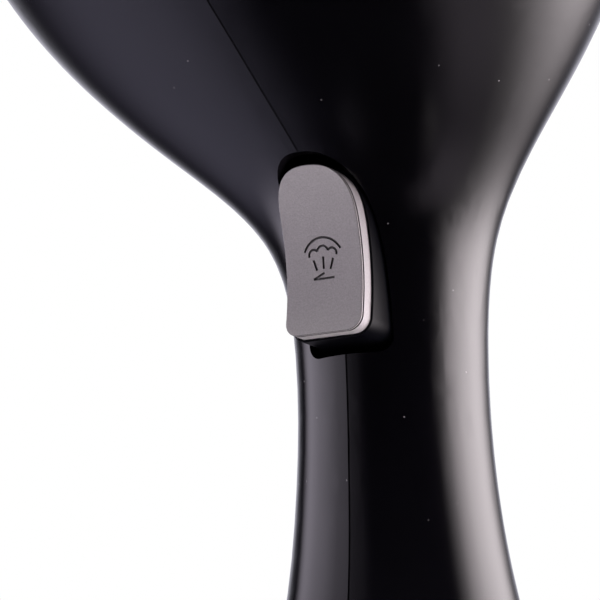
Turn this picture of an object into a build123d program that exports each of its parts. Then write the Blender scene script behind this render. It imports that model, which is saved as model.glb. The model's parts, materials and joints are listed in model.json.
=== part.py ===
from build123d import *
from math import cos, hypot, pi, sin
import os

# Handheld travel garment steamer, in millimetres.
# Forward is -Y, up is +Z, and the two body shells meet on the plane X = 0.
# The origin is on the surface that the steamer stands on, on the handle's axis.

os.makedirs("parts", exist_ok=True)

# ---- driving dimensions ------------------------------------------------------------------

WALL = 2.4
SEAM_GAP = 0.1
SEAM_GROOVE_HALF_WIDTH = 0.25
SEAM_GROOVE_DEPTH = 0.3
SHELL_FOOT = 1.0

# Sections of the body from the foot to the mouth of the head. Each one is a flat oval
# between a front point and a back point on X = 0:
# front forward, front height, back forward, back height, half width, egg.
# "egg" widens the front half of the oval and narrows the back half.
BODY_SECTIONS = [
    (38.0, 0.0, -44.0, 0.0, 42.0, 0.0),
    (25.0, 18.0, -35.0, 18.0, 32.0, 0.0),
    (19.4, 42.0, -26.0, 42.0, 24.8, 0.0),
    (18.7, 70.0, -20.2, 70.0, 20.3, 0.0),
    (20.2, 97.0, -17.8, 97.0, 19.4, 0.0),
    (26.8, 119.5, -15.8, 119.5, 23.8, 0.0),
    (47.2, 136.0, -15.0, 139.0, 39.4, 0.04),
    (70.0, 150.5, -21.5, 165.0, 57.0, 0.05),
    (86.5, 160.5, -26.5, 201.0, 67.0, 0.06),
    (95.0, 167.5, -13.0, 242.0, 68.5, 0.12),
    (99.6, 174.0, 30.0, 275.0, 66.0, 0.2),
    (102.0, 182.0, 80.0, 286.0, 58.0, 0.25),
]
SECTION_POINTS = 16

# Depths in the head are measured forward from the mouth plane of the shells.
BEZEL_REACH = 5.0
BEZEL_BAND = 7.0
BEZEL_LAP = 4.0
SOLEPLATE_INSET = 7.5
SOLEPLATE_BACK = -3.0
SOLEPLATE_FACE = 2.5
BLOCK_INSET = 14.0
BLOCK_BACK = -21.0
CHAMBER_INSET = 20.0
CHAMBER_FLOOR = -9.0
GASKET_THICK = 0.8
COVER_THICK = 2.0
SHIELD_BACK = -33.0
TANK_FRONT = -36.0
STEAM_HOLE_RADIUS = 1.1
STEAM_HOLE_INSET = 23.5
RIM_GROOVE_INSET = 14.5
RIM_GROOVE_WIDTH = 1.2
PLATE_GROOVE_DEPTH = 0.6
ELEMENT_RADIUS = 2.4
ELEMENT_DEPTH = -6.1
ELEMENT_END = -28.0
CHAMBER_SCREW_INSET = 17.0

TANK_CLEARANCE = 3.0
TANK_WALL = 2.0
TANK_HALF_WIDTH = 44.0
TANK_REACH = 200.0
TANK_BOTTOM = 200.0
TANK_TOP = 268.0

# Filler in the top of the head, square to the surface there.
FILLER_FORWARD = 33.0
FILLER_HEIGHT = 276.6
FILLER_TILT = 20.0
COLLAR_RADIUS = 14.5
LID_RADIUS = 12.7
NECK_RADIUS = 10.0
NECK_BORE = 8.0
LID_HINGE_BACK = 13.8
LID_HINGE_HEIGHT = 1.5

TRIGGER_HALF_WIDTH = 8.5
TRIGGER_BOTTOM = 96.0
TRIGGER_TOP = 128.5
TRIGGER_CORNER = 3.0
TRIGGER_BODY_RIM = 0.5
TRIGGER_BODY_BACK = 9.7
TRIGGER_CAP_THICK = 3.6
TRIGGER_CAP_EASE = 0.12
TRIGGER_CAP_LIP = 0.4
TRIGGER_CAP_GROOVE = 0.5
TRIGGER_CAP_GROOVE_DEPTH = 0.35
TRIGGER_WALL = 1.8
FINGER_SCOOP_RADIUS = 40.0
FINGER_SCOOP_FORWARD = 68.4
FINGER_SCOOP_HEIGHT = 105.0
PIVOT_FORWARD = 14.0
PIVOT_HEIGHT = 126.0
PIVOT_PIN_RADIUS = 1.5
RUNNING_FIT = 0.05
TRIGGER_SPRING_HALF_LENGTH = 4.0
TRIGGER_EAR_RADIUS = 4.0
SWITCH_HEIGHT = 100.0
SWITCH_FRONT = 4.5
SWITCH_DEPTH = 6.2
SWITCH_TALL = 5.8
OPENING_SIDE_GAP = 0.5
OPENING_TOP_GAP = 1.5
OPENING_BOTTOM_GAP = 1.9
PICTOGRAM_DEPTH = 0.35
PICTOGRAM_STROKE = 0.45
PICTOGRAM_FOOT = 107.2

CARRIER_HALF_GAP = 9.9
CARRIER_HALF_WIDTH = 11.7

BUTTON_HEIGHT = 112.0
BUTTON_RADIUS = 5.6
BUTTON_FACE = 17.9
BUTTON_COLLAR_RADIUS = 8.2
BUTTON_COLLAR_BACK = 17.7
STATUS_LENS_RADIUS = 6.8
BUTTON_PARTS_FRONT = 12.0
POWER_BOARD_FRONT = 7.5
POWER_BOARD_THICK = 1.6

PUMP_BACK = -4.0
PUMP_BOTTOM = 38.0
PUMP_TOP = 80.0
PUMP_BORE = 3.6
PUMP_TUBE_RADIUS = 5.5
PUMP_YOKE_SIDE = 18.0

GLAND_HEIGHT = 11.0
GLAND_RADIUS = 5.6
CORD_RADIUS = 3.6
GLAND_FRONT = 28.0
GLAND_LENGTH = 15.0

BASE_CENTRE_BACK = 3.0
FOOT_RADIUS = 34.0
FOOT_THICK = 1.2
BASE_PLATE_THICK = 2.6
BASE_SCREW_RADIUS = 1.45
BASE_SCREW_PITCH = 38.2
BOARD_HEIGHT = 16.0
BOARD_RADIUS = 20.0
BOARD_THICK = 1.6
BOARD_TOP = BOARD_HEIGHT + BOARD_THICK

HOSE_RADIUS = 2.2
HOSE_BORE = 1.2


# ---- helpers -----------------------------------------------------------------------------


def section_plane(section):
    """The plane of a body section: x is lateral, y runs from its front point to its back one."""
    front_f, front_z, back_f, back_z = section[:4]
    centre = Vector(0, -(front_f + back_f) / 2, (front_z + back_z) / 2)
    along = Vector(0, front_f - back_f, back_z - front_z).normalized()
    return Plane(origin=centre, x_dir=(1, 0, 0), z_dir=Vector(1, 0, 0).cross(along))


def section_point(section, inset, turn):
    """A point of a section's oval, where turn 0 is the front point and pi the back one."""
    front_f, front_z, back_f, back_z, half_width, egg = section
    half_length = hypot(front_f - back_f, front_z - back_z) / 2 - inset
    return (
        (half_width - inset) * sin(turn) * (1 + egg * cos(turn)),
        -half_length * cos(turn),
    )


def section_face(section, inset, offset=0.0):
    """The oval of a section, inset all round, on its plane or on one parallel to it."""
    points = [section_point(section, inset, 2 * pi * i / SECTION_POINTS) for i in range(SECTION_POINTS)]
    with BuildSketch(section_plane(section).offset(offset)) as face:
        with BuildLine():
            Spline(*points, periodic=True)
        make_face()
    return face.sketch


def body_form(inset):
    """The whole body as one solid, inset all round."""
    with BuildPart() as form:
        for section in BODY_SECTIONS:
            add(section_face(section, inset))
        loft()
    return form.part


MOUTH = BODY_SECTIONS[-1]
MOUTH_PLANE = section_plane(MOUTH)


def mouth_face(inset, offset):
    """The outline of the head's mouth, inset, at a depth measured forward from the mouth."""
    return section_face(MOUTH, inset, offset)


def mouth_points(inset, count, first, last):
    """Points along the mouth's outline from one turn to another, in degrees."""
    turns = [first + (last - first) * i / (count - 1) for i in range(count)]
    return [section_point(MOUTH, inset, turn * pi / 180) for turn in turns]


def front_loop(builder):
    """The foremost closed edge of a plate."""
    return builder.edges().filter_by(lambda edge: edge.is_closed).sort_by(Axis.Y)[0]


def front_prism(half_width, bottom, top, corner, first_forward, last_forward):
    """A prism along the forward direction with a broad round top and small bottom corners."""
    middle_of_corner = corner * (1 - cos(pi / 4))
    with BuildPart() as prism:
        with BuildSketch(Plane.XZ.offset(first_forward)):
            with BuildLine():
                # the last three points stand in line, so the round top runs into the side without a break
                Bezier(
                    (0, top),
                    (0.42 * half_width, top),
                    (0.8 * half_width, top - 0.08 * half_width),
                    (half_width, top - 0.45 * half_width),
                    (half_width, top - 0.85 * half_width),
                    (half_width, top - 1.35 * half_width),
                )
                Line((half_width, top - 1.35 * half_width), (half_width, bottom + corner))
                ThreePointArc(
                    (half_width, bottom + corner),
                    (half_width - middle_of_corner, bottom + middle_of_corner),
                    (half_width - corner, bottom),
                )
                Line((half_width - corner, bottom), (0, bottom))
                mirror(about=Plane.YZ)
            make_face()
        extrude(amount=last_forward - first_forward)
    return prism.part


def finger_scoop(outer, inner=0.0):
    """A cylinder or ring about the lateral axis of the finger scoop."""
    with BuildPart() as scoop:
        with BuildSketch(Plane.YZ):
            with Locations((-FINGER_SCOOP_FORWARD, FINGER_SCOOP_HEIGHT)):
                Circle(outer)
                if inner > 0:
                    Circle(inner, mode=Mode.SUBTRACT)
        extrude(amount=4 * TRIGGER_HALF_WIDTH, both=True)
    return scoop.part


def hose(points, radii, outer, inner):
    """A round hose along straight runs joined by arcs."""
    with BuildPart() as tube:
        with BuildLine():
            path = FilletPolyline(*points, radius=radii)
        with BuildSketch(Plane(origin=path @ 0, z_dir=path % 0)):
            Circle(outer)
            if inner > 0:
                Circle(inner, mode=Mode.SUBTRACT)
        sweep()
    return tube.part


def coil_spring(plane, coil_radius, wire_radius, length, turns):
    """A compression spring that starts on a plane and runs along its normal."""
    with BuildPart() as spring:
        with BuildLine():
            wire = Helix(
                pitch=length / turns,
                height=length,
                radius=coil_radius,
                center=plane.origin,
                direction=plane.z_dir,
            )
        with BuildSketch(Plane(origin=wire @ 0, z_dir=wire % 0)):
            Circle(wire_radius)
        sweep(is_frenet=True)
    return spring.part


def save(builder, label):
    """Label a finished piece and write it."""
    builder.part.label = label
    export_step(builder.part, "parts/" + label + ".step")


outer_form = body_form(0)
inner_form = body_form(WALL)
skin_form = body_form(SEAM_GROOVE_DEPTH)
boss_limit = body_form(WALL / 2)

filler_plane = Plane(
    origin=(0, -FILLER_FORWARD, FILLER_HEIGHT),
    x_dir=(1, 0, 0),
    z_dir=Vector(0, 0, 1).rotate(Axis.X, -FILLER_TILT),
)
filler_axis = Axis(filler_plane.origin, filler_plane.z_dir)


# ---- body shells -------------------------------------------------------------------------

with BuildPart() as seam_groove:
    add(outer_form)
    add(skin_form, mode=Mode.SUBTRACT)
    Box(2 * SEAM_GROOVE_HALF_WIDTH, 400, 800, mode=Mode.INTERSECT)

with BuildPart() as base_bosses:
    with BuildSketch(Plane.XY.offset(FOOT_THICK + BASE_PLATE_THICK + 1.0)):
        with Locations((0, BASE_CENTRE_BACK)):
            with GridLocations(BASE_SCREW_PITCH, BASE_SCREW_PITCH, 2, 2):
                Circle(4.0)
                Circle(BASE_SCREW_RADIUS + RUNNING_FIT, mode=Mode.SUBTRACT)
    extrude(amount=16.0)
    add(boss_limit, mode=Mode.INTERSECT)

with BuildPart() as whole_shell:
    add(outer_form)
    add(inner_form, mode=Mode.SUBTRACT)
    add(base_bosses.part)
    add(seam_groove.part, mode=Mode.SUBTRACT)
    # the open foot
    Box(200, 200, 2 * SHELL_FOOT, mode=Mode.SUBTRACT)
    # the trigger's opening in the front of the neck
    add(
        front_prism(
            TRIGGER_HALF_WIDTH + TRIGGER_BODY_RIM + OPENING_SIDE_GAP,
            TRIGGER_BOTTOM - TRIGGER_BODY_RIM - OPENING_BOTTOM_GAP,
            TRIGGER_TOP + TRIGGER_BODY_RIM + OPENING_TOP_GAP,
            TRIGGER_CORNER,
            10.0,
            60.0,
        ),
        mode=Mode.SUBTRACT,
    )
    # the power button's hole in the back of the neck
    with BuildSketch(Plane.XZ.offset(-10.0)):
        with Locations((0, BUTTON_HEIGHT)):
            Circle(BUTTON_COLLAR_RADIUS + 0.1)
    extrude(amount=-12.0, mode=Mode.SUBTRACT)
    # the filler's hole in the top of the head
    with BuildSketch(filler_plane.offset(-8.0)):
        Circle(COLLAR_RADIUS + 0.1)
    extrude(amount=16.0, mode=Mode.SUBTRACT)
    # the cord gland's hole in the back of the foot
    with BuildSketch(Plane.XZ.offset(-30.0)):
        with Locations((0, GLAND_HEIGHT)):
            Circle(GLAND_RADIUS + 0.1)
    extrude(amount=-20.0, mode=Mode.SUBTRACT)

with BuildPart() as left_shell:
    add(whole_shell.part)
    split(bisect_by=Plane.YZ.offset(-SEAM_GAP / 2), keep=Keep.BOTTOM)
save(left_shell, "left_shell")

with BuildPart() as right_shell:
    add(whole_shell.part)
    split(bisect_by=Plane.YZ.offset(SEAM_GAP / 2), keep=Keep.TOP)
save(right_shell, "right_shell")


# ---- steam head --------------------------------------------------------------------------

with BuildPart() as front_bezel:
    extrude(mouth_face(0, 0), amount=BEZEL_REACH)
    fillet(front_loop(front_bezel), 2.4)
    extrude(mouth_face(WALL + 0.3, 0), amount=-BEZEL_LAP)
    extrude(mouth_face(BEZEL_BAND, -BEZEL_LAP), amount=20, mode=Mode.SUBTRACT)
save(front_bezel, "front_bezel")

outer_holes = mouth_points(STEAM_HOLE_INSET, 13, -124, 124)
inner_holes = [(9 * sin(i * pi / 3), -2 + 9 * cos(i * pi / 3)) for i in range(6)]
steam_holes = outer_holes + inner_holes

with BuildPart() as rim_groove:
    extrude(mouth_face(RIM_GROOVE_INSET, SOLEPLATE_FACE), amount=-PLATE_GROOVE_DEPTH)
    extrude(
        mouth_face(RIM_GROOVE_INSET + RIM_GROOVE_WIDTH, SOLEPLATE_FACE),
        amount=-PLATE_GROOVE_DEPTH,
        mode=Mode.SUBTRACT,
    )

with BuildPart() as soleplate:
    extrude(mouth_face(SOLEPLATE_INSET, SOLEPLATE_BACK), amount=SOLEPLATE_FACE - SOLEPLATE_BACK)
    fillet(front_loop(soleplate), 1.6)
    # a fine groove that follows the rim, and a dished mouth at each steam hole
    add(rim_groove.part, mode=Mode.SUBTRACT)
    with BuildSketch(MOUTH_PLANE.offset(SOLEPLATE_FACE)):
        with Locations(*steam_holes):
            Circle(2 * STEAM_HOLE_RADIUS)
    extrude(amount=-PLATE_GROOVE_DEPTH, mode=Mode.SUBTRACT)
    with BuildSketch(MOUTH_PLANE.offset(SOLEPLATE_BACK)):
        with Locations(*steam_holes):
            Circle(STEAM_HOLE_RADIUS)
    extrude(amount=20, mode=Mode.SUBTRACT)
save(soleplate, "soleplate")

ELEMENT_TERMINALS = [(12, 36), (-12, 36)]
ELEMENT_LOOP = [(20, 14), (20, -18), (-20, -18), (-20, 14)]
ELEMENT_BEND = 6.0
element_route = [
    (*ELEMENT_TERMINALS[0], ELEMENT_END),
    (*ELEMENT_TERMINALS[0], ELEMENT_DEPTH),
    *[(x, y, ELEMENT_DEPTH) for x, y in ELEMENT_LOOP],
    (*ELEMENT_TERMINALS[1], ELEMENT_DEPTH),
    (*ELEMENT_TERMINALS[1], ELEMENT_END),
]
element_points = [MOUTH_PLANE.from_local_coords(point) for point in element_route]

with BuildPart() as heater_element:
    add(hose(element_points, ELEMENT_BEND, ELEMENT_RADIUS, 0))
save(heater_element, "heater_element")

chamber_screw_points = mouth_points(CHAMBER_SCREW_INSET, 6, -140, 140)

with BuildPart() as heater_block:
    extrude(mouth_face(BLOCK_INSET, BLOCK_BACK), amount=SOLEPLATE_BACK - 0.2 - BLOCK_BACK)
    extrude(mouth_face(CHAMBER_INSET, BLOCK_BACK), amount=CHAMBER_FLOOR - BLOCK_BACK, mode=Mode.SUBTRACT)
    with BuildSketch(MOUTH_PLANE.offset(BLOCK_BACK)):
        with Locations(*steam_holes):
            Circle(STEAM_HOLE_RADIUS)
    extrude(amount=30, mode=Mode.SUBTRACT)
    with BuildSketch(MOUTH_PLANE.offset(BLOCK_BACK)):
        with Locations(*chamber_screw_points):
            Circle(1.5)
    extrude(amount=9, mode=Mode.SUBTRACT)
    add(hose(element_points, ELEMENT_BEND, ELEMENT_RADIUS + RUNNING_FIT, 0), mode=Mode.SUBTRACT)
save(heater_block, "heater_block")

with BuildPart() as chamber_gasket:
    extrude(mouth_face(BLOCK_INSET + 0.5, BLOCK_BACK), amount=-GASKET_THICK)
    extrude(mouth_face(CHAMBER_INSET, BLOCK_BACK), amount=-GASKET_THICK, mode=Mode.SUBTRACT)
    with BuildSketch(MOUTH_PLANE.offset(BLOCK_BACK)):
        with Locations(*chamber_screw_points):
            Circle(1.6)
        with Locations(*ELEMENT_TERMINALS):
            Circle(ELEMENT_RADIUS + 0.3)
    extrude(amount=-2, mode=Mode.SUBTRACT)
save(chamber_gasket, "chamber_gasket")

COVER_FRONT = BLOCK_BACK - GASKET_THICK
COVER_BACK = COVER_FRONT - COVER_THICK
INLET_POINT = (0, -22)

with BuildPart() as chamber_cover:
    extrude(mouth_face(BLOCK_INSET, COVER_FRONT), amount=-COVER_THICK)
    with BuildSketch(MOUTH_PLANE.offset(COVER_FRONT)):
        with Locations(*chamber_screw_points):
            Circle(1.6)
        with Locations(*ELEMENT_TERMINALS):
            Circle(ELEMENT_RADIUS + 0.3)
        with Locations(INLET_POINT):
            Circle(2.5)
    extrude(amount=-5, mode=Mode.SUBTRACT)
save(chamber_cover, "chamber_cover")

with BuildPart() as chamber_screws:
    with BuildSketch(MOUTH_PLANE.offset(COVER_BACK)):
        with Locations(*chamber_screw_points):
            Circle(2.7)
    extrude(amount=-2.0)
    with BuildSketch(MOUTH_PLANE.offset(COVER_BACK)):
        with Locations(*chamber_screw_points):
            Circle(1.45)
    extrude(amount=10.0)
    with BuildSketch(MOUTH_PLANE.offset(COVER_BACK - 2.0)):
        with Locations(*chamber_screw_points):
            Rectangle(3.0, 0.7)
            Rectangle(0.7, 3.0)
    extrude(amount=1.2, mode=Mode.SUBTRACT)
save(chamber_screws, "chamber_screws")

THERMOSTAT_PLACE = (0, 14)
THERMOSTAT_FLANGE = 4.0

with BuildPart() as thermostat:
    with BuildSketch(MOUTH_PLANE.offset(COVER_BACK)):
        with Locations(THERMOSTAT_PLACE):
            Circle(8.0)
    extrude(amount=-THERMOSTAT_FLANGE)
    with BuildSketch(MOUTH_PLANE.offset(COVER_BACK - THERMOSTAT_FLANGE)):
        with Locations(THERMOSTAT_PLACE):
            Circle(6.5)
    extrude(amount=-2.5)
    # the two flat tabs of its terminals
    with BuildSketch(MOUTH_PLANE.offset(COVER_BACK - THERMOSTAT_FLANGE)):
        with Locations(THERMOSTAT_PLACE):
            with GridLocations(16.8, 1.0, 2, 1):
                Rectangle(4.0, 4.8)
    extrude(amount=-0.8)
save(thermostat, "thermostat")

FUSE_RADIUS = 2.0
fuse_centre = MOUTH_PLANE.from_local_coords((-22, 4, COVER_BACK - FUSE_RADIUS - 0.1))
fuse_plane = Plane(origin=fuse_centre, z_dir=(1, 0, 0))

with BuildPart() as thermal_fuse:
    with BuildSketch(fuse_plane):
        Circle(FUSE_RADIUS)
    extrude(amount=5.5, both=True)
    # its two leads
    with BuildSketch(fuse_plane):
        Circle(0.5)
    extrude(amount=9.0, both=True)
save(thermal_fuse, "thermal_fuse")

with BuildPart() as steam_inlet:
    with BuildSketch(MOUTH_PLANE.offset(COVER_FRONT)):
        with Locations(INLET_POINT):
            Circle(2.4)
    extrude(amount=-COVER_THICK)
    with BuildSketch(MOUTH_PLANE.offset(COVER_BACK)):
        with Locations((INLET_POINT[0], INLET_POINT[1] - 1.5)):
            Rectangle(7.0, 9.0)
    extrude(amount=-6.5)
    inlet_end = MOUTH_PLANE.from_local_coords((0, INLET_POINT[1] - 5.8, COVER_BACK - 3.4))
    inlet_way = Vector(0, -MOUTH_PLANE.y_dir.Y, -MOUTH_PLANE.y_dir.Z)
    with BuildSketch(Plane(origin=inlet_end, z_dir=inlet_way)):
        Circle(HOSE_BORE)
        Circle(0.7, mode=Mode.SUBTRACT)
    extrude(amount=6.0)
save(steam_inlet, "steam_inlet")

with BuildPart() as heat_shield:
    extrude(mouth_face(12.0, SHIELD_BACK), amount=0.8)
    with BuildSketch(MOUTH_PLANE.offset(SHIELD_BACK)):
        with Locations(*ELEMENT_TERMINALS):
            Circle(5.0)
        with Locations(THERMOSTAT_PLACE):
            Circle(9.5)
    extrude(amount=5, mode=Mode.SUBTRACT)
save(heat_shield, "heat_shield")


# ---- water tank and filler ---------------------------------------------------------------

tank_outside = body_form(WALL + TANK_CLEARANCE)
tank_inside = body_form(WALL + TANK_CLEARANCE + TANK_WALL)


def tank_block(form, wall):
    """The part of a body form behind the heater and inside the tank's sides, inset by a wall."""
    with BuildPart() as block:
        add(form)
        extrude(mouth_face(-60.0, TANK_FRONT - wall), amount=-TANK_REACH, mode=Mode.INTERSECT)
        with Locations((0, 0, (TANK_BOTTOM + TANK_TOP) / 2)):
            Box(
                2 * (TANK_HALF_WIDTH - wall),
                4 * TANK_REACH,
                TANK_TOP - TANK_BOTTOM - 2 * wall,
                mode=Mode.INTERSECT,
            )
    return block.part


tank_cavity = tank_block(tank_inside, TANK_WALL)
TANK_OUTLET = (18.0, -30.0)

with BuildPart() as water_tank:
    add(tank_block(tank_outside, 0))
    with BuildSketch(filler_plane.offset(-0.8)):
        Circle(NECK_RADIUS)
    extrude(amount=-16.0)
    add(tank_cavity, mode=Mode.SUBTRACT)
    with BuildSketch(filler_plane):
        Circle(NECK_BORE)
    extrude(amount=-20.0, mode=Mode.SUBTRACT)
    with BuildSketch(Plane.XY.offset(TANK_BOTTOM)):
        with Locations(TANK_OUTLET):
            Circle(4.0)
    extrude(amount=TANK_WALL, mode=Mode.SUBTRACT)
save(water_tank, "water_tank")

with BuildPart() as tank_grommet:
    with BuildSketch(Plane.XY.offset(TANK_BOTTOM - 3.0)):
        with Locations(TANK_OUTLET):
            Circle(6.0)
    extrude(amount=3.0)
    with BuildSketch(Plane.XY.offset(TANK_BOTTOM)):
        with Locations(TANK_OUTLET):
            Circle(3.95)
    extrude(amount=TANK_WALL)
    with BuildSketch(Plane.XY.offset(TANK_BOTTOM - 3.0)):
        with Locations(TANK_OUTLET):
            Circle(HOSE_RADIUS)
    extrude(amount=10.0, mode=Mode.SUBTRACT)
save(tank_grommet, "tank_grommet")

with BuildPart() as filler_collar:
    with BuildSketch(filler_plane.offset(-5.0)):
        Circle(COLLAR_RADIUS)
    extrude(amount=7.2)
    fillet(filler_collar.edges().group_by(filler_axis)[-1], 0.9)
    with BuildSketch(filler_plane.offset(-0.3)):
        Circle(LID_RADIUS + 0.4)
    extrude(amount=6.0, mode=Mode.SUBTRACT)
    with BuildSketch(filler_plane.offset(-6.0)):
        Circle(NECK_RADIUS + 0.1)
    extrude(amount=12.0, mode=Mode.SUBTRACT)
    # the gap for the lid's knuckle, and the finger notch in front
    with BuildSketch(filler_plane.offset(-0.3)):
        with Locations((0, LID_HINGE_BACK)):
            Rectangle(10.6, 4.0)
        with Locations((0, -COLLAR_RADIUS)):
            Circle(4.0)
    extrude(amount=6.0, mode=Mode.SUBTRACT)
    hinge_origin = filler_plane.from_local_coords((0, LID_HINGE_BACK, LID_HINGE_HEIGHT))
    with BuildSketch(Plane(origin=hinge_origin, x_dir=(0, 1, 0), z_dir=(1, 0, 0))):
        Circle(0.82)
    extrude(amount=7.5, both=True, mode=Mode.SUBTRACT)
save(filler_collar, "filler_collar")

with BuildPart() as lid_pin:
    with BuildSketch(Plane(origin=hinge_origin, x_dir=(0, 1, 0), z_dir=(1, 0, 0))):
        Circle(0.8)
    extrude(amount=7.2, both=True)
save(lid_pin, "lid_pin")

with BuildPart() as filler_lid:
    with BuildSketch(filler_plane.offset(0.5)):
        Circle(LID_RADIUS)
    extrude(amount=2.2)
    fillet(filler_lid.edges().group_by(filler_axis)[-1], 0.8)
    with BuildSketch(Plane(origin=hinge_origin, x_dir=(0, 1, 0), z_dir=(1, 0, 0))):
        Circle(1.4)
    extrude(amount=5.0, both=True)
    with BuildSketch(Plane(origin=hinge_origin, x_dir=(0, 1, 0), z_dir=(1, 0, 0))):
        Circle(0.85)
    extrude(amount=6.0, both=True, mode=Mode.SUBTRACT)
save(filler_lid, "filler_lid")

with BuildPart() as filler_seal:
    with BuildSketch(filler_plane.offset(-0.6)):
        Circle(NECK_RADIUS - 0.3)
    extrude(amount=1.1)
    with BuildSketch(filler_plane.offset(-3.4)):
        Circle(NECK_BORE - 0.3)
    extrude(amount=3.0)
    with BuildSketch(filler_plane.offset(-3.4)):
        Circle(NECK_BORE - 2.0)
    extrude(amount=2.4, mode=Mode.SUBTRACT)
save(filler_seal, "filler_seal")


# ---- trigger -----------------------------------------------------------------------------


def pictogram_stroke_paths():
    """Centre lines of the steam pictogram on the trigger, seen from the front."""
    foot = PICTOGRAM_FOOT
    with BuildLine() as strokes:
        # the outer arc, and the cloud under it
        ThreePointArc((-4.0, foot + 5.5), (0.0, foot + 8.0), (4.0, foot + 5.5))
        ThreePointArc((-3.0, foot + 4.4), (-2.5, foot + 5.7), (-1.2, foot + 5.4))
        ThreePointArc((-1.2, foot + 5.4), (0.0, foot + 6.4), (1.2, foot + 5.4))
        ThreePointArc((1.2, foot + 5.4), (2.5, foot + 5.7), (3.0, foot + 4.4))
        # three jets
        Line((-1.5, foot + 1.7), (-2.2, foot + 3.8))
        Line((0.0, foot + 1.9), (0.0, foot + 4.3))
        Line((1.5, foot + 1.7), (2.2, foot + 3.8))
        # the soleplate's wedge
        Line((-2.3, foot), (2.3, foot))
        Line((-2.3, foot), (0.1, foot + 1.1))
    return strokes.edges()


with BuildPart() as pictogram:
    for stroke in pictogram_stroke_paths():
        with BuildSketch(Plane.XZ.offset(20.0)):
            trace(stroke, line_width=PICTOGRAM_STROKE)
        extrude(amount=20.0)
    add(finger_scoop(FINGER_SCOOP_RADIUS + PICTOGRAM_DEPTH, FINGER_SCOOP_RADIUS - 3.0), mode=Mode.INTERSECT)

def cap_layer(inset, first, last):
    """A layer of the trigger's cap between two depths behind its finger face, inset all round."""
    with BuildPart() as layer:
        add(
            front_prism(
                TRIGGER_HALF_WIDTH - inset,
                TRIGGER_BOTTOM + inset,
                TRIGGER_TOP - inset,
                TRIGGER_CORNER - inset,
                TRIGGER_BODY_BACK,
                60.0,
            )
        )
        add(finger_scoop(FINGER_SCOOP_RADIUS + last, FINGER_SCOOP_RADIUS + first), mode=Mode.INTERSECT)
    return layer.part


CAP_GROOVE_BACK = TRIGGER_CAP_LIP + TRIGGER_CAP_GROOVE

# a face with an eased edge, a fine shadow line round the side just behind it, and the rest
with BuildPart() as trigger_cap:
    add(cap_layer(TRIGGER_CAP_EASE, 0.0, TRIGGER_CAP_EASE))
    add(cap_layer(0.0, TRIGGER_CAP_EASE, TRIGGER_CAP_LIP))
    add(cap_layer(TRIGGER_CAP_GROOVE_DEPTH, TRIGGER_CAP_LIP, CAP_GROOVE_BACK))
    add(cap_layer(0.0, CAP_GROOVE_BACK, TRIGGER_CAP_THICK - 0.05))
    add(pictogram.part, mode=Mode.SUBTRACT)
save(trigger_cap, "trigger_cap")

BODY_HALF_WIDTH = TRIGGER_HALF_WIDTH + TRIGGER_BODY_RIM
BODY_BOTTOM = TRIGGER_BOTTOM - TRIGGER_BODY_RIM
BODY_TOP = TRIGGER_TOP + TRIGGER_BODY_RIM
pivot_plane = Plane(origin=(0, -PIVOT_FORWARD, PIVOT_HEIGHT), x_dir=(0, 1, 0), z_dir=(1, 0, 0))

with BuildPart() as trigger_pocket:
    add(
        front_prism(
            BODY_HALF_WIDTH - TRIGGER_WALL,
            BODY_BOTTOM + TRIGGER_WALL,
            BODY_TOP - TRIGGER_WALL,
            TRIGGER_CORNER,
            0.0,
            60.0,
        )
    )
    add(finger_scoop(FINGER_SCOOP_RADIUS + TRIGGER_CAP_THICK + TRIGGER_WALL), mode=Mode.SUBTRACT)

with BuildPart() as trigger_body:
    add(front_prism(BODY_HALF_WIDTH, BODY_BOTTOM, BODY_TOP, TRIGGER_CORNER + 0.4, TRIGGER_BODY_BACK, 60.0))
    add(finger_scoop(FINGER_SCOOP_RADIUS + TRIGGER_CAP_THICK), mode=Mode.SUBTRACT)
    add(trigger_pocket.part, mode=Mode.SUBTRACT)
    # the ears round the pin, with room for the spring between them
    with BuildSketch(pivot_plane):
        Circle(TRIGGER_EAR_RADIUS)
    extrude(amount=BODY_HALF_WIDTH, both=True)
    with BuildSketch(pivot_plane):
        Circle(TRIGGER_EAR_RADIUS + 0.2)
    extrude(amount=TRIGGER_SPRING_HALF_LENGTH + 0.6, both=True, mode=Mode.SUBTRACT)
    # the rib that presses the switch
    with Locations((0, -(TRIGGER_BODY_BACK + 7.0), SWITCH_HEIGHT)):
        Box(5.0, 14.0, 3.0)
    add(finger_scoop(FINGER_SCOOP_RADIUS + TRIGGER_CAP_THICK), mode=Mode.SUBTRACT)
    with BuildSketch(pivot_plane):
        Circle(PIVOT_PIN_RADIUS + RUNNING_FIT)
    extrude(amount=20, both=True, mode=Mode.SUBTRACT)
save(trigger_body, "trigger_body")

with BuildPart() as trigger_carrier:
    with BuildSketch(Plane.YZ) as cheek:
        with BuildLine():
            Polyline((4, 97), (-10.2, 97), (-10.5, 112), (-17, 118.5), (-18, 131), (4, 131), close=True)
        make_face()
    extrude(amount=CARRIER_HALF_WIDTH, both=True)
    with Locations((0, -10, 115)):
        Box(2 * CARRIER_HALF_GAP, 24, 60, mode=Mode.SUBTRACT)
    with BuildSketch(pivot_plane):
        Circle(PIVOT_PIN_RADIUS)
    extrude(amount=20, both=True, mode=Mode.SUBTRACT)
save(trigger_carrier, "trigger_carrier")

with BuildPart() as trigger_pin:
    with BuildSketch(pivot_plane):
        Circle(PIVOT_PIN_RADIUS)
    extrude(amount=CARRIER_HALF_WIDTH + 0.3, both=True)
save(trigger_pin, "trigger_pin")

with BuildPart() as trigger_spring:
    add(
        coil_spring(
            pivot_plane.offset(-TRIGGER_SPRING_HALF_LENGTH),
            2.4,
            0.35,
            2 * TRIGGER_SPRING_HALF_LENGTH,
            8,
        )
    )
save(trigger_spring, "trigger_spring")

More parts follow.
